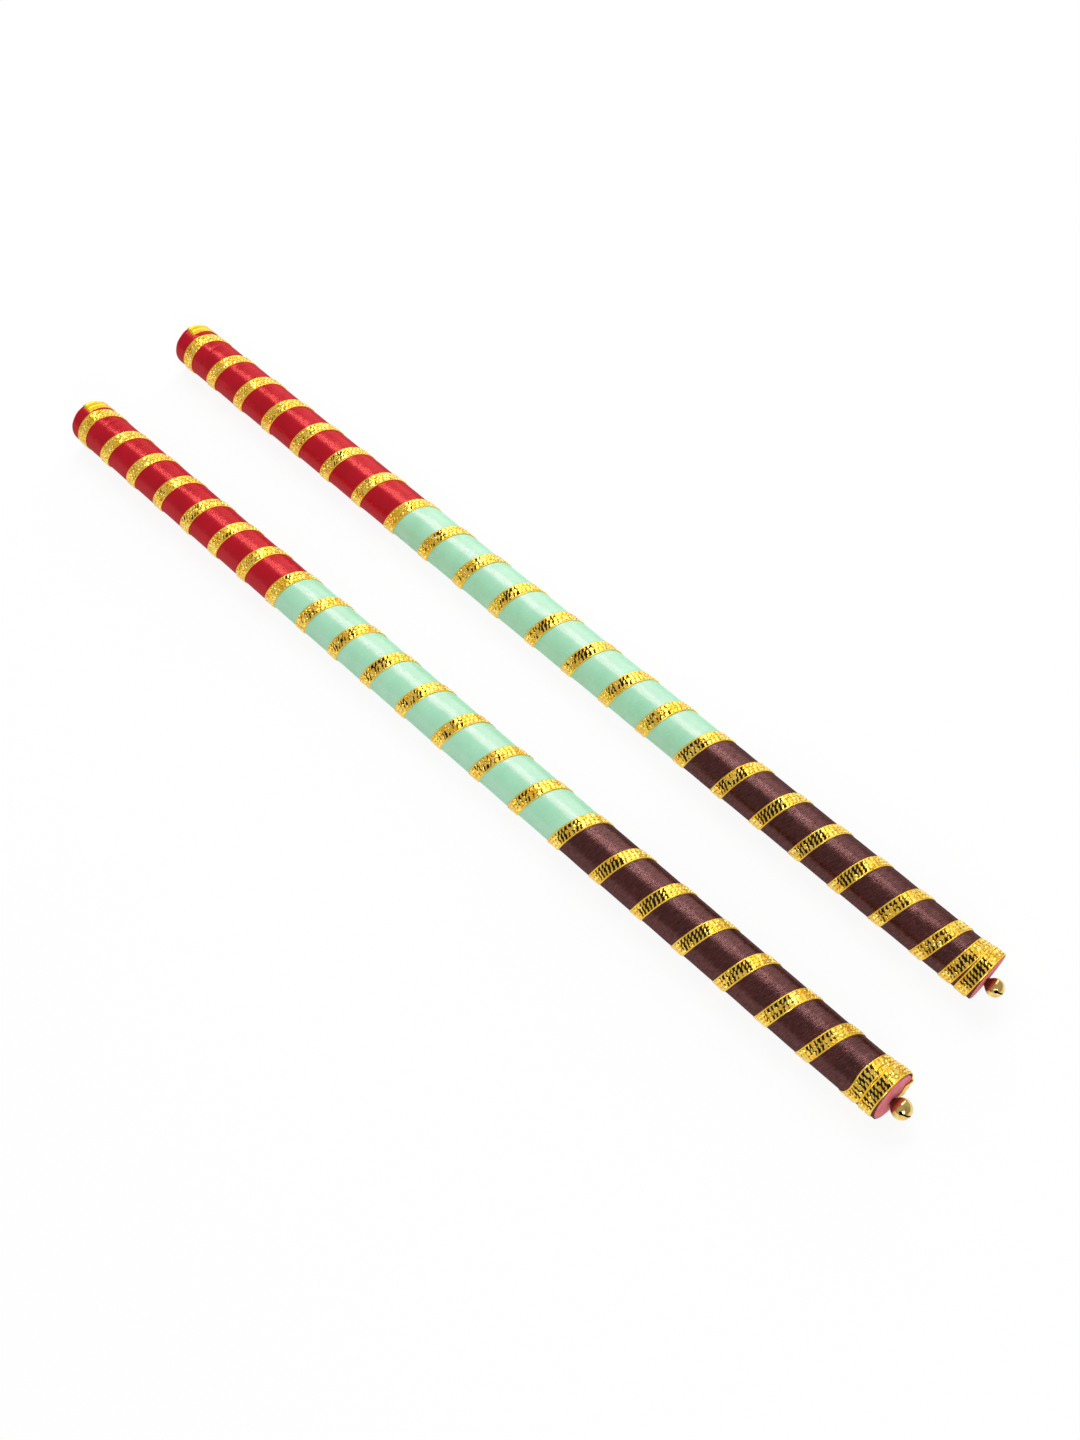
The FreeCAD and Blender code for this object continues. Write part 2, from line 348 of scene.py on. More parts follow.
@dataclass(frozen=True)
class PlainCloth:
    """Plain woven cotton for the end patches."""

    name: str
    deep: Colour
    light: Colour

    def make(self) -> Material:
        """Builds the material."""
        paint = Paint(self.name)
        where = paint.in_space(1.0)
        warp, weft = (paint.waves(where, axis, 0.38) for axis in (1, 2))
        cloud = paint.noise(paint.in_space(0.35), 3.0)
        tone = cloud.between(0.3, 0.7) * 0.8 + warp * weft * 0.12
        relief = paint.bump(warp * weft * 0.5 + cloud, 0.06)
        return paint.surface(Base_Color=paint.mix(tone, self.deep, self.light), Roughness=0.7, Normal=relief)


@dataclass(frozen=True)
class Metal:
    """Polished or plain metal with slight tarnish and fine scratches; on the bell, painted shade darkens it
    towards its neck.
    """

    name: str
    bright: Colour
    tarnish: Colour
    roughness: float
    neck_shade_colour: Colour | None = None

    def make(self) -> Material:
        """Builds the material."""
        paint = Paint(self.name)
        cloud = paint.noise(paint.in_space(0.5), 3.0)
        fine = paint.noise(paint.in_space(6.0, 1.5, 6.0), 2.0, 0.7)
        colour = paint.mix(cloud.between(0.4, 0.75), self.bright, self.tarnish)
        # Painted shade: the bell is mixed towards a dark brown on the side towards its neck.
        if self.neck_shade_colour:
            colour = paint.mix(paint.attribute("old").between(0.0, 0.55), colour, self.neck_shade_colour)
        rough = self.roughness + cloud * 0.1 + (fine - 0.5) * 0.08
        return paint.surface(Base_Color=colour, Roughness=rough, Metallic=1.0, Normal=paint.bump(fine, 0.008))


@dataclass(frozen=True)
class Dowel:
    """Plain turned wood, with grain along the stick."""

    name: str
    early: Colour
    late: Colour

    def make(self) -> Material:
        """Builds the material."""
        paint = Paint(self.name)
        grain = paint.noise(paint.in_space(0.03, 1.1, 1.1), 4.0, 0.6)
        return paint.surface(
            Base_Color=paint.mix(grain.between(0.35, 0.7), self.early, self.late),
            Roughness=0.55 + grain * 0.2,
            Normal=paint.bump(grain, 0.08),
        )


FINISHES = {
    Slot.WOOD: Dowel("dowel_wood", (0.62, 0.43, 0.24), (0.42, 0.26, 0.13)),
    Slot.RED: Satin(
        "red_satin_ribbon", (0.34, 0.0, 0.008), (0.48, 0.0, 0.018),
        roughness=0.24, grain=0.02, gloss=0.155, gleam=(1.0, 0.17, 0.15),
    ),
    Slot.MINT: Satin(
        "mint_satin_ribbon", (0.33, 0.72, 0.46), (0.42, 0.81, 0.55),
        roughness=0.26, grain=0.02, gloss=0.1, gleam=(1.0, 0.56, 0.76),
    ),
    Slot.MAROON: Satin(
        "maroon_satin_ribbon", (0.008, 0.0005, 0.0003), (0.044, 0.007, 0.005),
        roughness=0.24, grain=0.3, gloss=0.085, gleam=(1.0, 0.47, 0.45),
    ),
    Slot.LACE: GoldThread("gold_lace_thread", (0.95, 0.52, 0.012), (1.0, 0.86, 0.26), 0.2, 0.7),
    Slot.PATCH: PlainCloth("pink_patch_cloth", (0.64, 0.11, 0.13), (0.8, 0.22, 0.27)),
    # The bell's last colour is painted shade, laid on the side towards its neck.
    Slot.BELL: Metal("bell_polished_brass", (1.0, 0.77, 0.26), (0.66, 0.38, 0.1), 0.07, (0.22, 0.09, 0.05)),
    Slot.NAIL: Metal("nail_plain_steel", (0.6, 0.59, 0.57), (0.4, 0.38, 0.35), 0.3),
    Slot.PELLET: Metal("pellet_dark_iron", (0.25, 0.24, 0.23), (0.15, 0.12, 0.1), 0.4),
}
# Painted shade: the bells' inside is rough brass painted almost black, for the shade within them.
BELL_INSIDE = Metal("bell_inside_brass", (0.16, 0.08, 0.03), (0.05, 0.025, 0.012), 0.5)
GROUND = LaceGround("gold_lace_ground", (0.008, 0.004, 0.002), (0.96, 0.56, 0.03))


def held(value: float) -> float:
    """A number kept between 0 and 1."""
    return min(max(value, 0.0), 1.0)


def apart(angle: float, other: float) -> float:
    """The angle between two directions, in degrees."""
    return abs((angle - other + 180.0) % 360.0 - 180.0)


@dataclass(frozen=True)
class Winding:
    """The lace's way round a stick, by turns counted from its cut end."""

    start: float
    first: float
    last: float
    main_turns: int
    closing: float
    drifts: tuple[float, ...]
    slant: float
    slant_towards: float = 112.6
    rim: float = 187.9
    lap: float = 4.7

    def turns(self) -> int:
        """All turns but the tail."""
        return self.main_turns + 2 + (1 if self.closing else 0)

    def angle(self, turn: float) -> float:
        """The angle reached, from +Y over the top, in degrees."""
        return START_ANGLE - 360.0 * turn

    def flat_x(self, turn: float) -> float:
        """The middle of the strip, before the end face's slant."""
        if turn < 1:
            return self.start + turn * (self.first - self.start)
        if turn < 1 + self.main_turns:
            v = (turn - 1) / self.main_turns
            waves = sum(d * math.sin((n + 1) * math.pi * v) for n, d in enumerate(self.drifts))
            return self.first + v * (self.last - self.first) + waves
        if turn < self.turns() - 1:
            return self.last + (turn - 1 - self.main_turns) * self.closing
        return min(self.rim - self.lap + (turn - self.turns() + 1) * self.lap, self.rim)

    def lean(self, angle: float, radius: float) -> float:
        """How far the slanted end face falls short at an angle."""
        slope = math.tan(math.radians(self.slant))
        return slope * radius * math.cos(math.radians(angle - self.slant_towards))

    def x(self, turn: float) -> float:
        """The middle of the strip."""
        blend = held(turn - self.turns() + 2)
        return self.flat_x(turn) - blend * self.lean(self.angle(turn), LACE_BACK)


@dataclass(frozen=True)
class Place:
    """Where a stick lies in the pair."""

    middle: Point
    skew: float

    def to_row(self, points: np.ndarray) -> np.ndarray:
        """Millimetres in the stick's frame to metres in the pair's frame."""
        c, s = math.cos(math.radians(self.skew)), math.sin(math.radians(self.skew))
        spin = np.array([[c, -s, 0], [s, c, 0], [0, 0, 1]])
        return (points @ spin.T + np.array(self.middle)) * MM


def around(angle: float, radius: float, x: float) -> Point:
    """A point at an angle counted from +Y over the top."""
    turn = math.radians(angle)
    return (x, radius * math.cos(turn), radius * math.sin(turn))


def linked(name: str, data: Any) -> Thing:
    """A new object in the scene."""
    thing = bpy.data.objects.new(name, data)
    bpy.context.scene.collection.objects.link(thing)
    return thing


def mark(mesh: bpy.types.Mesh, name: str, values: Any) -> None:
    """Writes a number or a direction at every point of a mesh."""
    values = np.asarray(values, float)
    kind, entry = ("FLOAT", "value") if values.ndim == 1 else ("FLOAT_VECTOR", "vector")
    mesh.attributes.new(name, kind, "POINT").data.foreach_set(entry, values.ravel())


class Piece:
    """A mesh on its way to being a finished piece."""

    def __init__(self, name: str, points: np.ndarray, faces: Iterable[Sequence[int]], place: Place) -> None:
        """Makes the mesh in the pair's frame and links its object."""
        mesh = bpy.data.meshes.new(name)
        mesh.from_pydata(place.to_row(np.asarray(points, float)).tolist(), [], [list(f) for f in faces])
        mesh.update()
        self.thing = linked(name, mesh)

    def wrap(self, uv: np.ndarray) -> "Piece":
        """Gives every corner the wrap coordinates of its vertex, in millimetres."""
        mesh = self.thing.data
        layer = mesh.uv_layers.new(name="wrap")
        index = np.empty(len(mesh.loops), int)
        mesh.loops.foreach_get("vertex_index", index)
        layer.data.foreach_set("uv", np.asarray(uv, float)[index].ravel())
        return self

    def finish(self, slot: Slot, material: Material, replaces: Sequence[str]) -> Thing:
        """Smooths, dresses and seats the piece.

        Args:
            slot: The record's slot; not used.
            material: What it is made of.
            replaces: CAD nodes that it stands for.

        Returns:
            The finished object.
        """
        thing = self.thing
        thing.data.shade_smooth()
        thing.data.materials.clear()
        thing.data.materials.append(material)
        if replaces:
            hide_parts(*replaces)
        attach(thing, BODY)
        LOG.info("%s: %d faces", thing.name, len(thing.data.polygons))
        return thing


def baked(thing: Thing) -> Thing:
    """Turns an object's modifiers into a plain mesh and removes them."""
    graph = bpy.context.evaluated_depsgraph_get()
    mesh = bpy.data.meshes.new_from_object(thing.evaluated_get(graph))
    thing.modifiers.clear()
    thing.data = mesh
    mesh.name = thing.name
    return thing


def grid_faces(rows: int, columns: int, closed: bool = False, first: int = 0) -> list[tuple[int, ...]]:
    """Faces of a grid of points.

    Args:
        rows: How many rows there are. They run along +X, and their points go by falling angles.
        columns: The points in each row.
        closed: Whether the last point of a row meets its first.
        first: The number of the first point.

    Returns:
        The faces, turned outwards.
    """
    faces = []
    for start in range(first, first + (rows - 1) * columns, columns):
        for j in range(columns if closed else columns - 1):
            a, b = start + j, start + (j + 1) % columns
            faces.append((a, a + columns, b + columns, b))
    return faces


def ring_faces(rings: int, count: int, joined: bool = False) -> list[tuple[int, ...]]:
    """Faces between closed rings with rising angles; joined also leads the last ring back to the first."""
    whole = rings * count
    strips = grid_faces(rings + 1 if joined else rings, count, True)
    return [tuple(point % whole for point in (a, d, c, b)) for a, b, c, d in strips]


def closed_faces(rings: int, count: int) -> list[tuple[int, ...]]:
    """Faces of a closed skin over rings, with a flat face at both ends."""
    whole = rings * count
    return ring_faces(rings, count) + [tuple(reversed(range(count))), tuple(range(whole - count, whole))]


# A ring of a ribbon: from (share of a turn, angle) to (x, radius).
Ring = Callable[[float, float], tuple[float, float]]


@dataclass(frozen=True)
class Cover:
    """One ribbon of a stick, as a grid that follows the lace's winding."""

    slot: Slot
    node: str
    from_band: int
    to_band: int
    around_count: int = 96
    rows_per_turn: int = 24
    rim_rows: int = 24

    def relief(self, turn: float, angle: float, seed: float) -> float:
        """How far the cloth stands off the smooth cover, in millimetres."""
        phase = (turn - math.floor(turn)) if turn > 0 else 0.0
        swell = 0.1 * math.sin(math.pi * phase) ** 2
        slow = math.sin(0.9 * turn + 2 * math.radians(angle) + seed) * math.sin(2.3 * turn + seed * 2)
        return swell + 0.035 * slow

    def build(self, name: str, winding: Winding, place: Place, material: Material) -> Thing:
        """Makes the ribbon.

        Args:
            name: The stick's name.
            winding: The winding that hides the ribbon's ends.
            place: Where the stick lies.
            material: The satin.

        Returns:
            The finished object.
        """
        seed = 1.7 if name == "front" else 4.1
        count = self.around_count
        points: list[Point] = []
        uv: list[tuple[float, float]] = []
        for spot in self.rings(winding, seed):
            for j in range(count + 1):
                angle = CUT_ANGLE - 360.0 * j / count
                x, radius = spot(j / count, angle)
                points.append(around(angle, radius, x))
                uv.append((math.radians(angle) * COVER_RADIUS, x))
        faces = grid_faces(len(points) // (count + 1), count + 1)
        piece = Piece(f"{name}_{self.node}_wrap", np.array(points), faces, place).wrap(np.array(uv))
        return piece.finish(self.slot, material, [f"{name}_{self.node}"])

    def rings(self, winding: Winding, seed: float) -> Iterator[Ring]:
        """The ribbon's rings, in order along the stick.

        Args:
            winding: The winding that hides the ribbon's ends.
            seed: What shifts the cloth's relief from stick to stick.

        Yields:
            Each ring.
        """
        offset = (START_ANGLE - CUT_ANGLE) / 360.0
        low, high = self.from_band + offset, self.to_band + offset
        if self.from_band == 0:
            low = 1 + offset
            yield from self.far_rings(winding, low, seed)
        to_rim = self.to_band > winding.turns()
        last_turn = winding.turns() - 2 + offset
        turns = high - low
        steps = round(turns * self.rows_per_turn)
        for i in range(steps + 1):
            base = low + turns * i / steps
            if to_rim and base > last_turn:
                break
            yield lambda s, a, b=base: (
                winding.x(b + s),
                COVER_RADIUS + self.relief(b + s, a, seed) - self.seam(b + s),
            )
        if to_rim:
            for k in range(1, self.rim_rows + 1):
                share = k / self.rim_rows
                yield lambda s, a, f=share: (self.towards_rim(winding, last_turn + s, a, f), COVER_TOP)
            yield lambda s, a: (self.towards_rim(winding, last_turn + s, a, 1.0), STICK_RADIUS)

    def far_rings(self, winding: Winding, low: float, seed: float) -> Iterator[Ring]:
        """Rings over the far end's disc, round its rim and up to the first lap of lace."""

        def ripple(angle: float) -> float:
            """The gathers of the cloth round the disc."""
            return math.sin(math.radians(angle) * RIPPLES_ROUND + seed)

        for r in np.linspace(0.4, COVER_RADIUS - COVER_ROUNDING, 12):
            yield lambda s, a, r=r: (COVER_FAR_END - RIPPLE_DEPTH * ripple(a) * r / 6, r)
        for t in np.linspace(0.15, math.pi / 2, 7):
            x = COVER_FAR_END + COVER_ROUNDING * (1 - math.cos(t))
            r = COVER_RADIUS - COVER_ROUNDING * (1 - math.sin(t))
            fade = 1 - t / (math.pi / 2)
            yield lambda s, a, x=x, r=r, f=fade: (x - RIPPLE_DEPTH * f * ripple(a), r)
        begin = COVER_FAR_END + COVER_ROUNDING
        for k in range(1, 12):
            yield lambda s, a, k=k: (begin + (winding.x(low + s) - begin) * k / 12, COVER_TOP)

    def seam(self, turn: float) -> float:
        """The groove where two turns of the red ribbon lap, next to the far end."""
        if self.from_band != 0 or turn > 2 or turn < 1:
            return 0.0
        return 0.16 * math.exp(-(((turn - 1.42) / 0.022) ** 2))

    def towards_rim(self, winding: Winding, turn: float, angle: float, share: float) -> float:
        """How far along a place lies between the last whole turn and the slanted end."""
        begin = winding.x(turn)
        end = NEAR_END - winding.lean(angle, COVER_RADIUS)
        return begin + (end - begin) * share


@dataclass
class Track:
    """A line that lace lies along.

    Its places have outward directions, how open the bars lie (opens) and how far the ground is painted
    dark between them as shade and dark reflection (shades).
    """

    places: np.ndarray
    outs: np.ndarray
    opens: np.ndarray
    shades: np.ndarray
    width: float = LACE_WIDTH

    def sides(self) -> np.ndarray:
        """The direction across the lace at each place."""
        ways = np.gradient(self.places, axis=0)
        sides = np.cross(self.outs, ways)
        return sides / np.linalg.norm(sides, axis=1)[:, None]

    def lengths(self) -> np.ndarray:
        """The run so far at each place, in millimetres."""
        steps = np.linalg.norm(np.diff(self.places, axis=0), axis=1)
        return np.concatenate([[0.0], np.cumsum(steps)])

    def carrier(self, name: str) -> Thing:
        """The line as loose edges in the stick's frame, with its directions and openness as attributes."""
        mesh = bpy.data.meshes.new(name)
        edges = [(i, i + 1) for i in range(len(self.places) - 1)]
        mesh.from_pydata(self.places.tolist(), edges, [])
        mark(mesh, "out", self.outs)
        mark(mesh, "open", self.opens)
        return linked(name, mesh)


class Sprig(Tree):
    """A Geometry Nodes tree."""

    kinds = {"Geometry": "Geometry", "Seed": "Int", "Material": "Material"}

    def __init__(self, name: str, inputs: Sequence[str]) -> None:
        """Makes the tree with its named inputs, which are plain numbers apart from those in kinds."""
        super().__init__(bpy.data.node_groups.new(name, "GeometryNodeTree"))
        face = self.tree.interface
        for label in ("Geometry", *inputs):
            kind = self.kinds.get(label, "Float")
            face.new_socket(name=label, in_out="INPUT", socket_type=f"NodeSocket{kind}")
        face.new_socket(name="Geometry", in_out="OUTPUT", socket_type="NodeSocketGeometry")
        given = self.tree.nodes.new("NodeGroupInput").outputs
        self.given = {socket.name: Wire(self, socket) for socket in given}
        self.end = self.tree.nodes.new("NodeGroupOutput")

    def join(self, parts: Sequence[Wire]) -> Wire:
        """Joins several geometries."""
        made = self.tree.nodes.new("GeometryNodeJoinGeometry")
        for part in parts:
            self.tree.links.new(part.socket, made.inputs[0])
        return Wire(self, made.outputs[0])

    def vector(self, operation: str, first: Wire, second: Wire | Point = (0.0, 0.0, 0.0)) -> Wire:
        """Vector maths."""
        return self.node("ShaderNodeVectorMath", {"operation": operation}, {0: first, 1: second})

    def scaled(self, vector: Wire, factor: Wire) -> Wire:
        """A vector times a number."""
        return self.node("ShaderNodeVectorMath", {"operation": "SCALE"}, {0: vector, "Scale": factor})

    def across(self, out: Wire, way: Wire) -> Wire:
        """The direction across the lace."""
        return self.vector("NORMALIZE", self.vector("CROSS_PRODUCT", out, way))

    def xyz(self, x: Any, y: Any, z: Any) -> Wire:
        """Three numbers as a vector."""
        return self.node("ShaderNodeCombineXYZ", {}, {0: x, 1: y, 2: z})

    def attribute(self, name: str, kind: str) -> Wire:
        """What the line carries under a name."""
        return self.node("GeometryNodeInputNamedAttribute", {"data_type": kind}, {"Name": name})

    def close(self, geometry: Wire, material: Wire) -> None:
        """Ends the tree in Realize Instances and Set Material."""
        real = self.node("GeometryNodeRealizeInstances", {}, {0: geometry})
        dressed = self.node("GeometryNodeSetMaterial", {}, {0: real, "Material": material})
        self.tree.links.new(dressed.socket, self.end.inputs[0])

    def apply(self, thing: Thing, values: dict[str, Any]) -> Thing:
        """Runs the tree on an object and bakes the result.

        Args:
            thing: The carrier.
            values: The inputs by name.

        Returns:
            The same object, with a plain mesh.
        """
        modifier = thing.modifiers.new(self.tree.name, "NODES")
        modifier.node_group = self.tree
        for item in self.tree.interface.items_tree:
            if item.in_out == "INPUT" and item.name in values:
                modifier[item.identifier] = values[item.name]
        return baked(thing)


def stitch_tree() -> Sprig:
    """The tree that lays three rows of slanted foil bars along a line, apart where the weave is open."""
    sizes = ("Pitch", "Row Gap", "Length", "Open Width", "Closed Width", "Height", "Slant", "Jitter")
    sprig = Sprig("lace_bars", (*sizes, "Seed", "Material"))
    given = sprig.given
    line = sprig.node("GeometryNodeMeshToCurve", {}, {0: given["Geometry"]})
    cone = {"Vertices": 8, "Radius Top": 0.4, "Radius Bottom": 0.5, "Depth": 1.0}
    bar = sprig.node("GeometryNodeMeshCone", {}, cone)
    out, way = (sprig.attribute(name, "FLOAT_VECTOR") for name in ("out", "way"))
    opened = sprig.attribute("open", "FLOAT")
    side = sprig.across(out, way)
    rows = []
    for number, row in enumerate((-1.0, 0.0, 1.0)):
        # Sockets 4 and 5 are where the line begins and ends, as lengths.
        begin = given["Pitch"] * (0.1 + 0.5 * number)
        cut = sprig.node("GeometryNodeTrimCurve", {"mode": "LENGTH"}, {0: line, 4: begin, 5: 1e6})
        even = sprig.node("GeometryNodeResampleCurve", {"mode": "LENGTH"}, {0: cut, "Length": given["Pitch"]})
        dots = sprig.node("GeometryNodeCurveToPoints", {"mode": "EVALUATED"}, {0: even})
        carried = {0: dots, "Name": "way", "Value": dots.beside("Tangent")}
        kept = sprig.node("GeometryNodeStoreNamedAttribute", {"data_type": "FLOAT_VECTOR"}, carried)

        def chance(low: float, high: float, step: int, number: int = number) -> Wire:
            """A random number for each bar."""
            values = {"Min": low, "Max": high, "Seed": given["Seed"] + float(number * 17 + step)}
            return sprig.node("FunctionNodeRandomValue", {"data_type": "FLOAT"}, values, 1)

        off_line = sprig.scaled(side, (given["Row Gap"] + chance(-0.12, 0.12, 1)) * row)
        moved = sprig.vector("ADD", off_line, sprig.scaled(way, chance(-0.15, 0.15, 9)))
        placed = sprig.node("GeometryNodeSetPosition", {}, {0: kept, "Offset": moved})
        stand = sprig.node("FunctionNodeAlignRotationToVector", {"axis": "Z"}, {"Vector": out})
        ahead = {"Rotation": stand, "Vector": way}
        stand = sprig.node("FunctionNodeAlignRotationToVector", {"axis": "X", "pivot_axis": "Z"}, ahead)
        turn = given["Slant"] + chance(-1.0, 1.0, 2) * given["Jitter"]
        tilt = sprig.xyz(chance(0.0, 0.11, 3), chance(-0.04, 0.04, 4), 0.0)
        for by in (sprig.xyz(0.0, 0.0, turn), tilt):
            turned = {"Rotation": stand, "Rotate By": sprig.node("FunctionNodeEulerToRotation", {}, {0: by})}
            stand = sprig.node("FunctionNodeRotateRotation", {"rotation_space": "LOCAL"}, turned)
        loose = opened.over(chance(0.0, 1.0, 5))
        wide = given["Closed Width"] - loose * (given["Closed Width"] - given["Open Width"])
        size = sprig.xyz(
            given["Length"] * chance(0.86, 1.1, 6),
            wide * chance(0.85, 1.15, 7),
            given["Height"] * chance(0.8, 1.2, 8),
        )
        woven = opened.over(PLAIN / 2)
        laid = {0: placed, "Selection": woven, "Instance": bar, "Rotation": stand, "Scale": size}
        rows.append(sprig.node("GeometryNodeInstanceOnPoints", {}, laid))
    sprig.close(sprig.join(rows), given["Material"])
    return sprig


def edge_tree() -> Sprig:
    """The tree that lays a thin cord along both edges of a line of lace."""
    sprig = Sprig("lace_edges", ("Reach", "Radius", "Material"))
    given = sprig.given
    line = sprig.node("GeometryNodeMeshToCurve", {}, {0: given["Geometry"]})
    circle = sprig.node("GeometryNodeCurvePrimitiveCircle", {}, {"Resolution": 6, "Radius": given["Radius"]})
    way = sprig.node("GeometryNodeInputTangent", {}, {})
    side = sprig.across(sprig.attribute("out", "FLOAT_VECTOR"), way)
    cords = []
    for sign in (-1.0, 1.0):
        offset = sprig.scaled(side, given["Reach"] * sign)
        moved = sprig.node("GeometryNodeSetPosition", {}, {0: line, "Offset": offset})
        cords.append(sprig.node("GeometryNodeCurveToMesh", {}, {0: moved, 1: circle, "Fill Caps": True}))
    sprig.close(sprig.join(cords), given["Material"])
    return sprig


# Up to which turn, and how open the weave gets there.
OPEN_LEVELS = ((8.0, 0.6), (15.6, 0.42), (math.inf, 0.95))


@dataclass
class Lace:
    """The gold lace of one stick: ground, stitches and edge cords."""

    name: str
    winding: Winding
    place: Place
    folded: bool
    steps_per_turn: int = 48
    tail: float = 8 / 18
    fold_angle: float = -32.0
    fold_width: float = 6.0
    hug_reach: float = 0.5
    hug_depth: float = 2.2
    columns: int = 25
    tab: float = 0.25
    lean_turns: float = 0.3
    lean_depth: float = 0.4
    fold_steps: int = 4
    # Painted dark reflection: the ground is painted dark round these angles, on the side facing the camera
    # and underneath, and less of it on the red ribbon's lace.
    front_dark_angle: float = 128.0
    lower_dark_angle: float = -75.0
    red_turns: int = 8
    red_dark_share: float = 0.42

    def openness(self, turn: float, angle: float) -> float:
        """How open the bars lie, up to 1: most towards the bell end, and PLAIN on the cut tab."""
        if turn < self.tab:
            return PLAIN
        level = next(level for end, level in OPEN_LEVELS if turn < end)
        return min(level * self.painted_dark_band(turn, angle) + 0.03, 1.0)

    def painted_dark_band(self, turn: float, angle: float) -> float:
        """How far the ground is painted dark between the bars: painted dark reflection and shade in a band
        round the side that faces the camera, weaker underneath and on the red ribbon, and PLAIN on the cut
        tab.
        """
        if turn < self.tab:
            return PLAIN
        above = held((44.0 - apart(angle, self.front_dark_angle)) / 14.0)
        below = 0.7 * held((40.0 - apart(angle, self.lower_dark_angle)) / 20.0)
        change = 0.8 + 0.2 * math.sin(turn * 5.3 + 1.1)
        return max(above, below) * change * (self.red_dark_share if turn < self.red_turns else 1.0)

    def main_track(self) -> Track:
        """The line up the stick, through the middle of the woven strip."""
        turns = self.winding.turns()
        rows = []
        for i in range(round((turns + self.tail) * self.steps_per_turn) + 1):
            turn = i / self.steps_per_turn
            angle = self.winding.angle(turn)
            radius = LACE_BACK + LACE_HALF + LAP_LIFT * held((turn - turns) * 9 + 1)
            place = around(angle, radius, self.winding.x(turn) + self.hug(turn))
            out = around(angle, 1.0, 0.0)
            rows.append((place, out, self.openness(turn, angle), self.painted_dark_band(turn, angle)))
        return Track(*(np.array(column) for column in zip(*rows)))

    def hug(self, turn: float) -> float:
        """How far the strip leans along the stick: at its cut end, and just before the last lap."""
        if turn < self.lean_turns:
            return -self.lean_depth * (1.0 - turn / self.lean_turns)
        share = (turn - (self.winding.turns() - 1.0 - self.hug_reach)) / self.hug_reach
        if not self.folded or share <= 0.0 or share >= 1.0:
            return 0.0
        return self.hug_depth * math.sin(math.pi * share ** 1.5) ** 2

    def fold_track(self) -> Track:
        """The line of the tail's end, over the rim and down the end face."""
        angle = self.fold_angle
        lean = self.winding.lean(angle, 1.0)
        top = LACE_BACK + LAP_LIFT + LACE_THICKNESS + LACE_HALF
        face = NEAR_END + PATCH_THICKNESS + 0.2
        # Each spot is how far along it lies, its radius and how far it faces outwards, in degrees.
        spots = [(NEAR_END - 3.2, top - 0.1, 90.0), (NEAR_END - 1.5, top, 90.0)]
        spots += [(NEAR_END - 0.2, top - 0.02, 75.0), (face - 0.05, top - 0.45, 40.0)]
        spots += [(face, top - 1.0, 8.0), (face, top - 2.2, 0.0), (face, 5.6, 0.0), (face, 4.4, 0.0)]
        fine = [
            tuple(a + (b - a) * k / self.fold_steps for a, b in zip(spot, following))
            for spot, following in zip(spots, spots[1:])
            for k in range(self.fold_steps)
        ]
        fine.append(spots[-1])
        places = [around(angle, r, x - lean * r) for x, r, _ in fine]
        outs = [around(angle, math.sin(math.radians(t)), math.cos(math.radians(t))) for _, _, t in fine]
        plain = np.full(len(outs), PLAIN)
        return Track(np.array(places), np.array(outs), plain, plain, self.fold_width)

    def rise(self, share: float) -> float:
        """The ground's height at a share of its half width: ribs in the middle and at the edges."""
        if share < 0.13 or 0.78 < share < 0.97:
            return 0.13
        return 0.04 if share >= 0.97 else -0.03

    def ground(self, tracks: Sequence[Track], material: Material) -> Thing:
        """The woven strip itself, with a back, a crowned face and closed edges."""
        across = np.linspace(-1, 1, self.columns)
        outline = [(k, self.rise(abs(k))) for k in across] + [(k, -LACE_HALF) for k in across[::-1]]
        rim = len(outline)
        points, uv, faces, shades = [], [], [], []
        for track in tracks:
            first = len(points)
            shades += [shade for shade in track.shades for _ in outline]
            for at, out, side, run in zip(track.places, track.outs, track.sides(), track.lengths()):
                for k, height in outline:
                    points.append(at + side * k * track.width / 2 + out * height)
                    uv.append((run, k * LACE_WIDTH / 2))
            faces += grid_faces(len(track.places), rim, True, first)
            last = len(points) - rim
            faces += [tuple(range(first, first + rim)), tuple(reversed(range(last, last + rim)))]
        piece = Piece(f"{self.name}_lace_ground", np.array(points), faces, self.place).wrap(np.array(uv))
        # The ground's "open" carries the painted dark band (shades) for its colour.
        mark(piece.thing.data, "open", shades)
        return piece.finish(Slot.LACE, material, [f"{self.name}_gold_lace"])

    def grown(self, label: str, tree: Sprig, tracks: Sequence[Track], values: dict[str, Any]) -> Thing:
        """Runs a tree along every track and joins what it makes into one piece."""
        points, faces = [], []
        for track in tracks:
            sized = dict(values)
            for key in {"Row Gap", "Reach"} & set(values):
                sized[key] = values[key] * (track.width / LACE_WIDTH)
            made = tree.apply(track.carrier(f"{self.name}_{label}_line"), sized)
            base = sum(len(p) for p in points)
            co = np.empty(len(made.data.vertices) * 3)
            made.data.vertices.foreach_get("co", co)
            points.append(co.reshape(-1, 3))
            faces += [[base + v for v in face.vertices] for face in made.data.polygons]
            bpy.data.objects.remove(made)
        piece = Piece(f"{self.name}_{label}", np.concatenate(points), faces, self.place)
        done = piece.finish(Slot.LACE, values["Material"], [])
        done.data.set_sharp_from_angle(angle=math.radians(50))
        return done

    def build(self, stitches: Sprig, edges: Sprig, thread: Material, ground: Material) -> None:
        """Makes the whole lace."""
        tracks = [self.main_track()] + ([self.fold_track()] if self.folded else [])
        self.ground(tracks, ground)
        self.grown("lace_stitches", stitches, tracks, {
            "Pitch": 1.5,
            "Row Gap": 1.3,
            "Length": 1.85,
            "Open Width": 0.7,
            "Closed Width": 1.5,
            "Height": 0.22,
            "Slant": math.radians(62),
            "Jitter": math.radians(9),
            "Seed": 3 if self.name == "front" else 8,
            "Material": thread,
        })
        self.grown("lace_edges", edges, tracks, {"Reach": 2.16, "Radius": 0.12, "Material": thread})


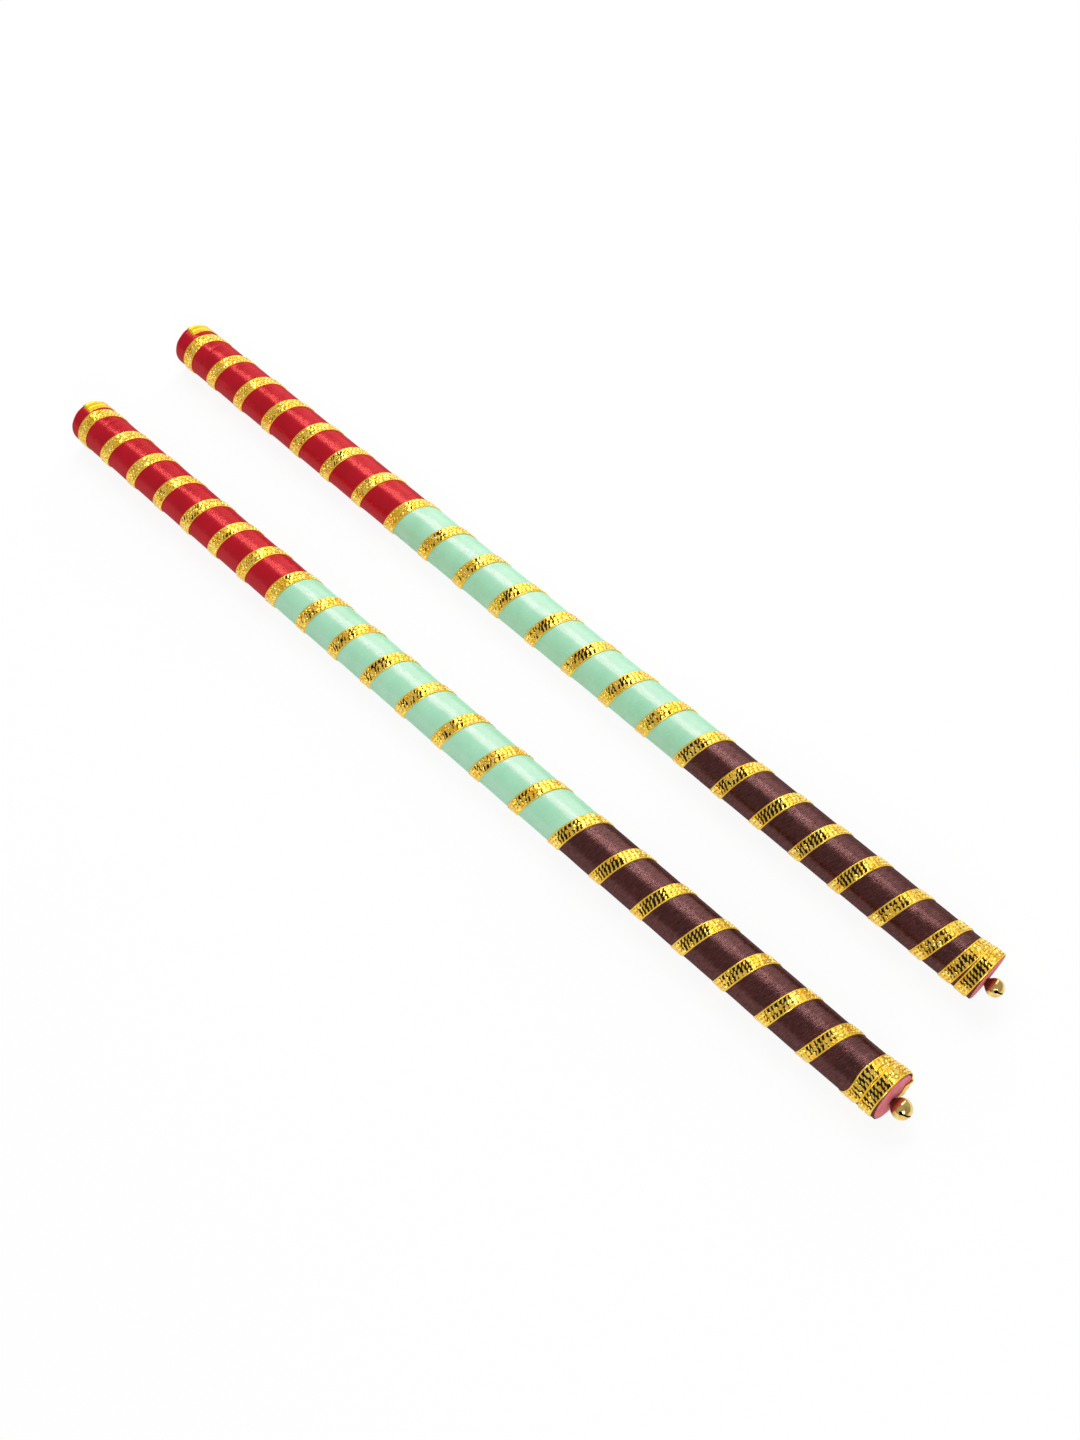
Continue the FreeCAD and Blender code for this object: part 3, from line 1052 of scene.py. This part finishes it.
@dataclass
class BellEnd:
    """A stick's bell end: cloth patch and jingle bell."""

    name: str
    winding: Winding
    place: Place
    radius: float
    reach: float
    base: tuple[float, float]
    lean: float
    wall: float = 0.35
    neck: float = 1.2
    slot_width: float = 0.6
    slot_reach: float = 70.0
    slot_turn: float = 133.0
    hole: float = 0.6
    bore: float = 0.52
    crown: float = math.pi - 0.03

    def end_frame(self) -> Matrix:
        """The end face's frame in the stick's frame; X is its outward normal."""
        towards = math.radians(self.winding.slant_towards)
        axis = Vector((0, -math.sin(towards), math.cos(towards)))
        tip = Matrix.Rotation(math.radians(self.winding.slant), 4, axis)
        return Matrix.Translation((NEAR_END, 0, 0)) @ tip

    def bell_frame(self) -> Matrix:
        """The bell's frame in the stick's frame."""
        out = PATCH_THICKNESS + math.tan(math.radians(abs(self.lean))) * self.neck
        tip = Matrix.Rotation(math.radians(self.lean), 4, "Z")
        return self.end_frame() @ Matrix.Translation((out, *self.base)) @ tip

    def patch(self, material: Material) -> Thing:
        """The cloth on the end face, with a soft, slightly wavy rim."""
        count = 96
        profile = [(0.0, r) for r in np.linspace(0.05, 7.8, 4)]
        profile += [(0.05, 7.88), (0.15, 7.95), (0.24, 7.93)]
        profile += [(PATCH_THICKNESS, r) for r in np.linspace(7.82, 0.05, 26)]
        points = []
        for x, r in profile:
            for j in range(count):
                angle = 360.0 * j / count
                wave = 0.03 * math.sin(math.radians(angle) * 7 + 1) * (r / 8) ** 4
                points.append(around(angle, r + wave, x))
        placed = self.seated(self.end_frame(), points)
        piece = Piece(f"{self.name}_patch_cloth", placed, closed_faces(len(profile), count), self.place)
        return piece.finish(Slot.PATCH, material, [f"{self.name}_end_patch"])

    def seated(self, frame_here: Matrix, points: Iterable[Sequence[float]]) -> np.ndarray:
        """Points of the end face's or the bell's frame, in the stick's frame."""
        return np.array([frame_here @ Vector(p) for p in points])

    def bell(self, material: Material, shaded_inside: Material) -> Thing:
        """The bell: outer and inner skin turned as one wall, then slit.

        Args:
            material: The polished outside.
            shaded_inside: The rough inside, painted almost black as shade.

        Returns:
            The finished object.
        """
        span = math.hypot(self.reach, self.neck)
        tangent = math.atan2(self.neck, self.reach) + math.acos(self.radius / span)
        inner = self.radius - self.wall
        seat = math.asin(1.0 / inner)
        outline = [(0.0, self.bore), (0.0, self.neck - 0.08), (0.06, self.neck)]
        for t in np.linspace(tangent, self.crown, 30):
            ridge = 0.05 * math.exp(-(((t - math.pi / 2) / 0.05) ** 2))
            wide = self.radius + ridge
            outline.append((self.reach - wide * math.cos(t), wide * math.sin(t)))
        for t in np.linspace(self.crown, seat, 26):
            outline.append((self.reach - inner * math.cos(t), inner * math.sin(t)))
        outline.append((self.reach - inner * math.cos(seat), self.bore))
        count = 64
        points = [around(360.0 * j / count, r, x) for x, r in outline for j in range(count)]
        frame_here = self.bell_frame()
        faces = ring_faces(len(outline), count, True)
        piece = Piece(f"{self.name}_bell_wall", self.seated(frame_here, points), faces, self.place)
        cutters = [self.slot_cutter(frame_here)] + [self.hole_cutter(frame_here, way) for way in (1.0, -1.0)]
        for number, cutter in enumerate(cutters):
            cut = piece.thing.modifiers.new(f"slot_{number}", "BOOLEAN")
            cut.operation = "DIFFERENCE"
            cut.solver = "EXACT"
            cut.object = cutter
        baked(piece.thing)
        for cutter in cutters:
            bpy.data.objects.remove(cutter)
        done = piece.finish(Slot.BELL, material, [f"{self.name}_bell_shell"])
        done.data.set_sharp_from_angle(angle=math.radians(40))
        done.data.materials.append(shaded_inside)
        ends = self.seated(frame_here, [(self.reach, 0, 0), (self.reach + 1, 0, 0)])
        heart, ahead = (Vector(end) for end in self.place.to_row(ends))
        limit = (self.radius - self.wall * 0.5) * MM
        # Faces inside the wall get the inside's painted shade.
        for face in done.data.polygons:
            face.material_index = 1 if (face.center - heart).length < limit else 0
        # Painted shade: each point's share towards the neck and the end face, where the bell is painted
        # darker.
        away = ahead - heart
        old = [-(v.co - heart).dot(away) / MM / MM / self.radius for v in done.data.vertices]
        mark(done.data, "old", old)
        return done

    def cutter(self, label: str, frame_here: Matrix, ends: Sequence[Sequence[Sequence[float]]]) -> Thing:
        """A closed bar between two outlines, turned to where the slot lies."""
        count = len(ends[0])
        turned = frame_here @ Matrix.Rotation(math.radians(self.slot_turn), 4, "X")
        placed = self.seated(turned, (p for outline in ends for p in outline))
        return Piece(label, placed, closed_faces(2, count), self.place).thing

    def slot_cutter(self, frame_here: Matrix) -> Thing:
        """The narrow slot over the bell's outer end."""
        reach = math.radians(self.slot_reach)
        half, wide = self.radius * math.sin(reach), self.slot_width / 2
        xs = (self.reach + self.radius * math.cos(reach), self.reach + self.radius * 1.3)
        corners = ((-half, -wide), (half, -wide), (half, wide), (-half, wide))
        return self.cutter("slot_cutter", frame_here, [[(x, y, z) for y, z in corners] for x in xs])

    def hole_cutter(self, frame_here: Matrix, way: float) -> Thing:
        """The round hole at one end of the slot, drilled square to the bell's skin."""
        reach = math.radians(self.slot_reach)
        out = Vector((math.cos(reach), way * math.sin(reach), 0))
        along = Vector((-math.sin(reach), way * math.cos(reach), 0))
        ends = []
        for far in (0.55, 1.3):
            middle = Vector((self.reach, 0, 0)) + out * self.radius * far
            turns = [2 * math.pi * k / 16 * way for k in range(16)]
            up = Vector((0, 0, self.hole))
            ends.append([middle + along * self.hole * math.cos(t) + up * math.sin(t) for t in turns])
        return self.cutter("hole_cutter", frame_here, ends)


@dataclass
class Stick:
    """One whole stick of the pair."""

    name: str
    winding: Winding
    place: Place
    bell_end: BellEnd
    folded: bool
    covers: tuple[Cover, ...] = (
        Cover(Slot.RED, "red_ribbon", 0, 8),
        Cover(Slot.MINT, "mint_ribbon", 8, 16),
        Cover(Slot.MAROON, "maroon_ribbon", 16, 99),
    )

    def build(
        self,
        materials: dict[Slot, Material],
        ground: Material,
        shaded_inside: Material,
        trees: Sequence[Sprig],
    ) -> None:
        """Makes and dresses every piece of the stick.

        Args:
            materials: The finish of each slot.
            ground: The lace's ground.
            shaded_inside: The bells' inside, painted almost black as shade.
            trees: The trees that lay the lace's bars and cords.
        """
        for cover in self.covers:
            cover.build(self.name, self.winding, self.place, materials[cover.slot])
        lace = Lace(self.name, self.winding, self.place, self.folded)
        lace.build(trees[0], trees[1], materials[Slot.LACE], ground)
        self.bell_end.patch(materials[Slot.PATCH])
        self.bell_end.bell(materials[Slot.BELL], shaded_inside)
        for node, slot in (("core", Slot.WOOD), ("bell_nail", Slot.NAIL), ("bell_pellet", Slot.PELLET)):
            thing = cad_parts[f"{self.name}_{node}"]
            thing.data.materials.clear()
            thing.data.materials.append(materials[slot])
            LOG.info("%s: kept", thing.name)


# Each lamp's name, place, size and power.
LAMPS = (
    ("key_lamp", (-0.5, 0.36, 1.15), (0.85, 0.3), 8.5),
    ("back_lamp", (-0.45, 1.0, 0.56), (0.85, 1.15), 6.0),
    ("end_lamp", (0.9, -0.6, 0.6), (0.5, 0.5), 5.6),
)


@dataclass
class Studio:
    """Pale floor, soft lamps and the camera."""

    middle: Point
    backdrop: float = 0.9
    surround: float = 0.4
    floor_reach: float = 6000.0
    lens: float = 42.54
    camera_offset: Point = (247.15, -187.06, 481.24)
    camera_right: Point = (0.71176, 0.70206, -0.02268)
    camera_forward: Point = (-0.39302, 0.37128, -0.84124)
    seen_by: tuple[str, ...] = ("Camera", "Glossy", "Transmission")

    def floor(self) -> None:
        """A wide pale floor under the sticks."""
        paint = Paint("pale_floor")
        haze = paint.noise(paint.in_space(0.004), 2.0)
        lit = paint.shader(Base_Color=paint.mix(haze, (0.86, 0.86, 0.86), (0.9, 0.9, 0.9)), Roughness=0.9)
        white = paint.node("ShaderNodeEmission", {}, {"Color": (1.0, 1.0, 1.0, 1.0), "Strength": 1.0})
        rays = [paint.node("ShaderNodeLightPath", {}, {}, f"Is {kind} Ray") for kind in self.seen_by]
        seen = (rays[0] + rays[1] + rays[2]).between(0.0, 1.0) * self.backdrop
        paint.finish(paint.node("ShaderNodeMixShader", {}, {0: seen, 1: lit, 2: white}))
        reach = self.floor_reach
        corners = np.array([(-reach, -reach, 0), (reach, -reach, 0), (reach, reach, 0), (-reach, reach, 0)])
        mesh = bpy.data.meshes.new("floor")
        mesh.from_pydata((corners * MM).tolist(), [], [(0, 1, 2, 3)])
        mesh.materials.append(paint.material)
        linked("floor", mesh)

    def lamp(self, name: str, at: Point, size: tuple[float, float], power: float) -> None:
        """A soft oblong lamp that points at the pair's middle."""
        data = bpy.data.lights.new(name, "AREA")
        data.shape = "RECTANGLE"
        data.size, data.size_y = size
        data.energy = power
        thing = linked(name, data)
        thing.location = at
        thing.rotation_mode = "QUATERNION"
        thing.rotation_quaternion = (-Vector(at)).to_track_quat("-Z", "Y")

    def world(self) -> None:
        """An even white surround, which the camera sees as plain white."""
        world = bpy.data.worlds.new("studio")
        world.use_nodes = True
        back = world.node_tree.nodes["Background"]
        back.inputs["Color"].default_value = (1.0, 1.0, 1.0, 1.0)
        rays = Tree(world.node_tree).node("ShaderNodeLightPath", {}, {}, "Is Camera Ray")
        world.node_tree.links.new(rays.larger(self.surround).socket, back.inputs["Strength"])
        bpy.context.scene.world = world

    def camera(self) -> None:
        """The camera at the photograph's viewing angle."""
        data = bpy.data.cameras.new("camera")
        data.lens = self.lens
        data.sensor_width = 36.0
        data.clip_start, data.clip_end = 0.01, 50.0
        right = Vector(self.camera_right).normalized()
        forward = Vector(self.camera_forward).normalized()
        up = right.cross(forward).normalized()
        turn = Matrix((right, up, -forward)).transposed()
        thing = linked("camera", data)
        at = [m + o for m, o in zip(self.middle, self.camera_offset)]
        thing.matrix_world = Matrix.Translation(Vector(at) * MM) @ turn.to_4x4()
        bpy.context.scene.camera = thing

    def build(self) -> None:
        """Sets the whole studio."""
        self.floor()
        self.world()
        for name, at, size, power in LAMPS:
            self.lamp(name, at, size, power)
        self.camera()
        bpy.context.scene.view_settings.view_transform = "Standard"


def main() -> None:
    """Builds the pair and its studio."""
    logging.basicConfig(level=logging.INFO, format="%(name)s %(message)s")
    low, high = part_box("front_core")
    middle = (low.x / MM + STICK_LENGTH / 2, (low.y + high.y) / 2 / MM, 0.0)
    height = (low.z + high.z) / 2 / MM
    materials = {slot: finish.make() for slot, finish in FINISHES.items()}
    ground = GROUND.make()
    shaded_inside = BELL_INSIDE.make()
    trees = (stitch_tree(), edge_tree())
    front = Winding(-186.8, -182.1, 183.2, 22, closing=0.0, drifts=(-4.6, -3.2, 1.5), slant=5.5)
    rear = Winding(-186.8, -180.6, 174.3, 21, closing=8.9, drifts=(1.9, -3.0, -0.7), slant=-3.0)
    front_place = Place((middle[0], middle[1], height), 0.0)
    rear_place = Place((middle[0] - REAR_SET_BACK, middle[1] + STICK_SPACING, height), REAR_SKEW)
    for name, winding, place, bell in (
        ("front", front, front_place, {"radius": 3.3, "reach": 3.5, "base": (-0.2, -2.2), "lean": 0.0}),
        ("rear", rear, rear_place, {"radius": 2.95, "reach": 3.2, "base": (-0.4, -1.8), "lean": 5.0}),
    ):
        bell_end = BellEnd(name, winding, place, **bell)
        Stick(name, winding, place, bell_end, folded=name == "front").build(materials, ground, shaded_inside, trees)
    Studio(middle).build()


if __name__ == "__main__":
    main()
